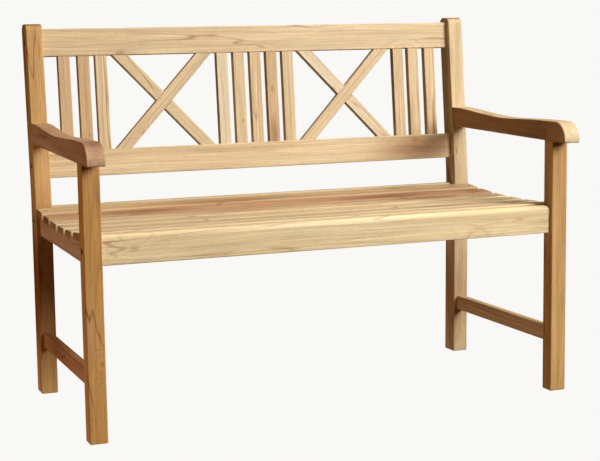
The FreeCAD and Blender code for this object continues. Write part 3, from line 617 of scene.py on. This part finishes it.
class BENCH_OT_front_legs(bpy.types.Operator):
    """Finishes the two front legs."""

    bl_idname = "bench.front_legs"
    bl_label = "Front legs"

    def execute(self, context):
        return finish_boards(context, ("front_leg_left", "front_leg_right"))


class BENCH_OT_rear_posts(bpy.types.Operator):
    """Finishes the two rear posts."""

    bl_idname = "bench.rear_posts"
    bl_label = "Rear posts"

    def execute(self, context):
        return finish_boards(context, ("rear_post_left", "rear_post_right"))


class BENCH_OT_armrests(bpy.types.Operator):
    """Finishes the two armrests."""

    bl_idname = "bench.armrests"
    bl_label = "Armrests"

    def execute(self, context):
        return finish_boards(context, ("armrest_left", "armrest_right"))


class BENCH_OT_seat_frame(bpy.types.Operator):
    """Finishes the apron, the rear and side rails of the seat and the bearer in its middle."""

    bl_idname = "bench.seat_frame"
    bl_label = "Seat frame"

    def execute(self, context):
        side_rails = ("side_seat_rail_left", "side_seat_rail_right")
        return finish_boards(context, ("front_apron", "rear_seat_rail", *side_rails, "centre_seat_bearer"))


class BENCH_OT_stretchers(bpy.types.Operator):
    """Finishes the two low side stretchers."""

    bl_idname = "bench.stretchers"
    bl_label = "Side stretchers"

    def execute(self, context):
        return finish_boards(context, ("side_stretcher_left", "side_stretcher_right"))


class BENCH_OT_back_rails(bpy.types.Operator):
    """Finishes the top and lower rails of the back."""

    bl_idname = "bench.back_rails"
    bl_label = "Back rails"

    def execute(self, context):
        return finish_boards(context, ("top_back_rail", "lower_back_rail"))


class BENCH_OT_back_slats(bpy.types.Operator):
    """Finishes the eleven upright slats of the back."""

    bl_idname = "bench.back_slats"
    bl_label = "Back slats"

    def execute(self, context):
        return finish_boards(context, boards_called("back_slat_"))


class BENCH_OT_cross_bars(bpy.types.Operator):
    """Finishes the four crossed bars of the back."""

    bl_idname = "bench.cross_bars"
    bl_label = "Cross bars"

    def execute(self, context):
        return finish_boards(context, boards_called("cross_bar_"))


class BENCH_OT_seat_slats(bpy.types.Operator):
    """Finishes the six long slats of the seat."""

    bl_idname = "bench.seat_slats"
    bl_label = "Seat slats"

    def execute(self, context):
        return finish_boards(context, [f"seat_slat_{i}" for i in range(1, 7)])


class BENCH_OT_plugs(bpy.types.Operator):
    """Finishes the wooden plugs over the screws. Their grain lies along the slats."""

    bl_idname = "bench.plugs"
    bl_label = "Slat plugs"

    def execute(self, context):
        middle = (Vector((0.0, 0.0, 0.0)), Matrix.Identity(3))
        finish = teak("seat_slat_plugs", context.scene.bench_teak, tone="amber", place=middle)
        put_on("seat_slat_plugs", finish)
        return {"FINISHED"}


class BENCH_OT_fittings(bpy.types.Operator):
    """Finishes the bolts, washers, barrel nuts and screws."""

    bl_idname = "bench.fittings"
    bl_label = "Bolts, nuts and screws"

    def execute(self, context):
        colours = context.scene.bench_fittings
        # Turned stainless steel: fine tool marks break up a grey, slightly warm shine.
        turned = metal("Turned stainless steel", colours.steel, 0.34, 0.8 * MM, 0.18)
        # Zinc plate on steel: bluish, with soft cloudy spots and less shine.
        plated = metal("Zinc-plated steel", colours.zinc, 0.46, 2.5 * MM, 0.25)
        for node in ("frame_bolts", "bolt_washers", "seat_slat_screws"):
            put_on(node, turned)
        put_on("barrel_nuts", plated)
        return {"FINISHED"}


# ---------------------------------------------------------------- studio

# The camera stands in front of the bench and to its left, turned to the right and tipped down. Metres and
# radians.
CAMERA_ALONG = -1.31045
CAMERA_BEFORE_LEG = 2.94473
CAMERA_HEIGHT = 0.87532
CAMERA_TURN = 0.347623
CAMERA_TIP = 0.130816
CAMERA_ROLL = -0.019538
CAMERA_SHIFT = (0.1002, -0.00995)
CAMERA_REACH = 100.0

# The paper: a round floor that curves up all round, past where any camera stands. Metres.
FLOOR_RADIUS = 8.0
CURVE_RADIUS = 2.5
CURVE_STEPS = 24
WALL_HEIGHT = 8.0
PAPER_SIDES = 96

# The colours of the lamps, of the light that comes back up off the floor, and of the air.
WHITE = (1.0, 0.985, 0.96)
WARM = (1.0, 0.66, 0.45)
AIR_COLOUR = (1.0, 0.42, 0.2, 1.0)


def paper_mesh():
    """The paper as a turned shape: its middle point, then one ring of points for each step of its profile."""
    profile = []
    for step in range(CURVE_STEPS + 1):
        turn = math.radians(90 * step / CURVE_STEPS)
        out = FLOOR_RADIUS + CURVE_RADIUS * math.sin(turn)
        profile.append((out, CURVE_RADIUS * (1 - math.cos(turn))))
    profile.append((FLOOR_RADIUS + CURVE_RADIUS, WALL_HEIGHT))
    points = [(0.0, 0.0, 0.0)]
    for out, up in profile:
        for side in range(PAPER_SIDES):
            turn = 2 * math.pi * side / PAPER_SIDES
            points.append((out * math.sin(turn), out * math.cos(turn), up))
    faces = [(0, 1 + (side + 1) % PAPER_SIDES, 1 + side) for side in range(PAPER_SIDES)]
    for ring in range(len(profile) - 1):
        inner = 1 + ring * PAPER_SIDES
        outer = inner + PAPER_SIDES
        for side in range(PAPER_SIDES):
            beside = (side + 1) % PAPER_SIDES
            faces.append((inner + side, inner + beside, outer + beside, outer + side))
    mesh = bpy.data.meshes.new("paper_sweep")
    mesh.from_pydata(points, [], faces)
    mesh.polygons.foreach_set("use_smooth", [True] * len(mesh.polygons))
    return mesh


def backlit_paper(colour):
    """Backlit white paper: it glows evenly, so it shows no horizon and no shadow."""
    paper = blank_material("Backlit studio paper")
    tree = paper.node_tree
    glow = add(tree, "ShaderNodeEmission", {"Color": (*colour, 1.0), "Strength": 1.0})
    add(tree, "ShaderNodeOutputMaterial", {"Surface": glow.outputs[0]})
    return paper


def lay_paper(scene, studio):
    """Puts the paper under and behind the bench. It lights nothing and shadows nothing."""
    mesh = paper_mesh()
    sweep = bpy.data.objects.new("paper_sweep", mesh)
    scene.collection.objects.link(sweep)
    mesh.materials.append(backlit_paper(studio.paper))
    sweep.visible_diffuse = False
    sweep.visible_glossy = False
    sweep.visible_shadow = False


def set_up_lamps(scene, studio):
    """Square soft lamps round the bench, all aimed at its middle."""
    middle = (CAD_BOX[0] + CAD_BOX[1]) / 2
    # Each lamp's direction from the bench in degrees, its distance and width in metres, and its colour.
    lamps = (
        ("key_softbox", studio.key_watts, 32.0, 23.0, 7.0, 3.0, WHITE),
        ("top_softbox", studio.top_watts, 62.0, 68.0, 3.2, 1.3, WHITE),
        ("back_softbox", studio.back_watts, 178.0, 5.0, 7.0, 1.6, WHITE),
        ("left_fill", studio.fill_watts, -95.0, -22.0, 1.5, 0.5, WHITE),
        ("floor_bounce", studio.bounce_watts, -84.0, -34.0, 4.2, 1.0, WARM),
    )
    for name, watts, azimuth, elevation, distance, width, colour in lamps:
        lamp = bpy.data.lights.new(name, "AREA")
        lamp.shape = "SQUARE"
        lamp.size = width
        lamp.energy = watts
        lamp.color = colour
        holder = bpy.data.objects.new(name, lamp)
        around, above = math.radians(azimuth), math.radians(elevation)
        way = Vector((math.sin(around), -math.cos(around), math.tan(above))).normalized()
        holder.location = middle + way * distance
        holder.rotation_mode = "QUATERNION"
        holder.rotation_quaternion = (-way).to_track_quat("-Z", "Y")
        holder.visible_camera = False
        # The other lamps would show as glare on the seat.
        holder.visible_glossy = name in ("key_softbox", "top_softbox")
        scene.collection.objects.link(holder)


def fill_air(scene, studio):
    """A little warm light from all round."""
    world = bpy.data.worlds.new("Soft air light")
    world.use_nodes = True
    tree = world.node_tree
    tree.nodes.clear()
    sky = add(tree, "ShaderNodeBackground", {"Color": AIR_COLOUR, "Strength": studio.air})
    add(tree, "ShaderNodeOutputWorld", {"Surface": sky.outputs[0]})
    scene.world = world


def stand_camera(scene, studio):
    """The camera, placed from the front face of the left front leg."""
    lens = bpy.data.cameras.new("camera")
    lens.lens = studio.lens
    lens.shift_x, lens.shift_y = CAMERA_SHIFT
    lens.clip_end = CAMERA_REACH
    camera = bpy.data.objects.new("camera", lens)
    level = Vector((math.sin(CAMERA_TURN), math.cos(CAMERA_TURN), 0.0))
    forward = level * math.cos(CAMERA_TIP) - Vector((0.0, 0.0, math.sin(CAMERA_TIP)))
    right = Vector((math.cos(CAMERA_TURN), -math.sin(CAMERA_TURN), 0.0))
    up = right.cross(forward)
    side = right * math.cos(CAMERA_ROLL) + up * math.sin(CAMERA_ROLL)
    over = up * math.cos(CAMERA_ROLL) - right * math.sin(CAMERA_ROLL)
    grid = Matrix((side, over, -forward)).transposed().to_4x4()
    leg_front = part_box("front_leg_left")[0][1]
    grid.translation = (CAMERA_ALONG, leg_front - CAMERA_BEFORE_LEG, CAMERA_HEIGHT)
    camera.matrix_world = grid
    scene.collection.objects.link(camera)
    scene.camera = camera


class BENCH_OT_studio(bpy.types.Operator):
    """Lays a pale paper sweep, sets up soft lights and puts the camera in front and to the left."""

    bl_idname = "bench.studio"
    bl_label = "Studio"

    def execute(self, context):
        scene = context.scene
        scene.view_settings.view_transform = "Standard"
        lay_paper(scene, scene.bench_studio)
        set_up_lamps(scene, scene.bench_studio)
        fill_air(scene, scene.bench_studio)
        stand_camera(scene, scene.bench_studio)
        return {"FINISHED"}


# ---------------------------------------------------------------- add-on


class BENCH_PT_panel(bpy.types.Panel):
    """Lists the bench's pieces and settings."""

    bl_label = "Teak garden bench"
    bl_space_type = "VIEW_3D"
    bl_region_type = "UI"
    bl_category = "Bench"

    def draw(self, context):
        for operator in OPERATORS:
            self.layout.operator(operator.bl_idname)
        scene = context.scene
        for group in (scene.bench_teak, scene.bench_fittings, scene.bench_studio):
            for name in group.__annotations__:
                if name != "tones":
                    self.layout.prop(group, name)
        for tone in scene.bench_teak.tones:
            row = self.layout.row()
            row.label(text=tone.name)
            for name in ("pale", "middle", "dark"):
                row.prop(tone, name, text="")


OPERATORS = (
    BENCH_OT_front_legs,
    BENCH_OT_rear_posts,
    BENCH_OT_armrests,
    BENCH_OT_seat_frame,
    BENCH_OT_stretchers,
    BENCH_OT_back_rails,
    BENCH_OT_back_slats,
    BENCH_OT_cross_bars,
    BENCH_OT_seat_slats,
    BENCH_OT_plugs,
    BENCH_OT_fittings,
    BENCH_OT_studio,
)

CLASSES = (ToneSettings, TeakSettings, FittingSettings, StudioSettings, *OPERATORS, BENCH_PT_panel)


def register():
    for kind in CLASSES:
        bpy.utils.register_class(kind)
    bpy.types.Scene.bench_teak = PointerProperty(type=TeakSettings)
    bpy.types.Scene.bench_fittings = PointerProperty(type=FittingSettings)
    bpy.types.Scene.bench_studio = PointerProperty(type=StudioSettings)


def unregister():
    del bpy.types.Scene.bench_studio
    del bpy.types.Scene.bench_fittings
    del bpy.types.Scene.bench_teak
    for kind in reversed(CLASSES):
        bpy.utils.unregister_class(kind)


def mix_tones(settings):
    """Fills the settings' list of tones."""
    for name, colours in TONES.items():
        tone = settings.tones.add()
        tone.name = name
        tone.pale, tone.middle, tone.dark = [linear(colour) for colour in colours]


def main():
    register()
    mix_tones(bpy.context.scene.bench_teak)
    bpy.ops.bench.front_legs()
    bpy.ops.bench.rear_posts()
    bpy.ops.bench.armrests()
    bpy.ops.bench.seat_frame()
    bpy.ops.bench.stretchers()
    bpy.ops.bench.back_rails()
    bpy.ops.bench.back_slats()
    bpy.ops.bench.cross_bars()
    bpy.ops.bench.seat_slats()
    bpy.ops.bench.plugs()
    bpy.ops.bench.fittings()
    bpy.ops.bench.studio()


if __name__ == "__main__":
    main()
